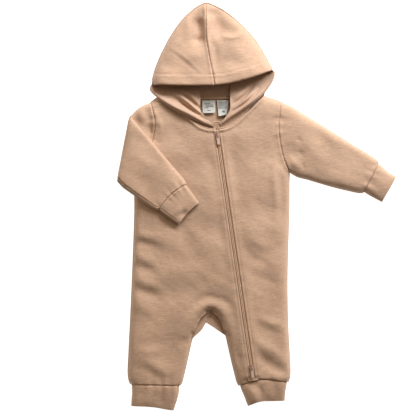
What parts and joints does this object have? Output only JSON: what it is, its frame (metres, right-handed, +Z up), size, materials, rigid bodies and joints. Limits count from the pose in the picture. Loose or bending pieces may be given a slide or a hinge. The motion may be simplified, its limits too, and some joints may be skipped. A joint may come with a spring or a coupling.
{
  "type": "baby hooded romper",
  "caption": "Hooded one-piece baby romper with long sleeves, plain cuffs and a two-way front zip, lying flat on its back.",
  "frame": {"origin": "centre of the bounding box on the surface the romper lies on", "axes": "+X towards the wearer's left, +Y towards the tip of the hood, +Z up from the surface, out of the wearer's chest"},
  "size_m": [0.499, 0.729, 0.0356],
  "materials": {
    "fleece": "matt brushed fleece",
    "cuff_fleece": "matt brushed fleece, double",
    "jersey_lining": "matt smooth jersey",
    "zip_tape": "matt woven tape",
    "zip_coil": "satin",
    "slider_enamel": "satin enamel",
    "label_satin": "woven satin"
  },
  "bodies": {
    "body": {"back_panel": "fleece", "front_panel_left": "fleece", "front_panel_right": "fleece", "crotch_gusset": "fleece", "side_seam_left": "fleece", "side_seam_right": "fleece", "shoulder_seam_left": "fleece", "shoulder_seam_right": "fleece", "inseam": "fleece", "left_sleeve_upper": "fleece", "right_sleeve_upper": "fleece", "left_ankle_cuff": "cuff_fleece", "right_ankle_cuff": "cuff_fleece", "zipper_tape_left": "zip_tape", "zipper_tape_right": "zip_tape", "zipper_coil_left": "zip_coil", "zipper_coil_right": "zip_coil", "zipper_top_stops": "zip_coil", "zipper_bottom_stops": "zip_coil", "zip_guard": "fleece", "hood_front_edge_left": "jersey_lining", "hood_front_edge_right": "jersey_lining", "neck_tape": "jersey_lining", "brand_label": "label_satin", "care_label": "label_satin"},
    "hood": {"hood_outer_left": "fleece", "hood_outer_right": "fleece", "hood_lining_left": "jersey_lining", "hood_lining_right": "jersey_lining"},
    "left_forearm": {"left_sleeve_lower": "fleece", "left_wrist_cuff": "cuff_fleece"},
    "right_forearm": {"right_sleeve_lower": "fleece", "right_wrist_cuff": "cuff_fleece"},
    "top_slider": {"top_slider": "slider_enamel"},
    "top_pull": {"top_pull_tab": "slider_enamel"},
    "bottom_slider": {"bottom_slider": "slider_enamel"},
    "bottom_pull": {"bottom_pull_tab": "slider_enamel"}
  },
  "joints": [
    {"name": "hood_lift", "type": "hinge", "parent": "body", "child": "hood", "pos_m": [-0.082, 0.198, 0.01], "axis": [1, 0, 0], "range_deg": [0, 75]},
    {"name": "left_sleeve_fold", "type": "hinge", "parent": "body", "child": "left_forearm", "pos_m": [0.075, 0.1145, 0.017], "axis": [0.1681, -0.9858, 0], "range_deg": [0, 165]},
    {"name": "right_sleeve_unfold", "type": "hinge", "parent": "body", "child": "right_forearm", "pos_m": [-0.23825, 0.1045, 0.0202], "axis": [-0.1888, -0.982, 0], "range_deg": [0, 175]},
    {"name": "top_slider_travel", "type": "slide", "parent": "body", "child": "top_slider", "axis": [0.1448, -0.9895, 0], "range_m": [0, 0.25]},
    {"name": "top_pull_flip", "type": "hinge", "parent": "top_slider", "child": "top_pull", "pos_m": [-0.0705, 0.129, 0.0224], "axis": [-0.9895, -0.1448, 0], "range_deg": [0, 150]},
    {"name": "bottom_slider_travel", "type": "slide", "parent": "body", "child": "bottom_slider", "axis": [-0.1448, 0.9895, 0], "range_m": [0, 0.13]},
    {"name": "bottom_pull_flip", "type": "hinge", "parent": "bottom_slider", "child": "bottom_pull", "pos_m": [-0.0099, -0.285, 0.0224], "axis": [-0.9895, -0.1448, 0], "range_deg": [0, 150]}
  ]
}
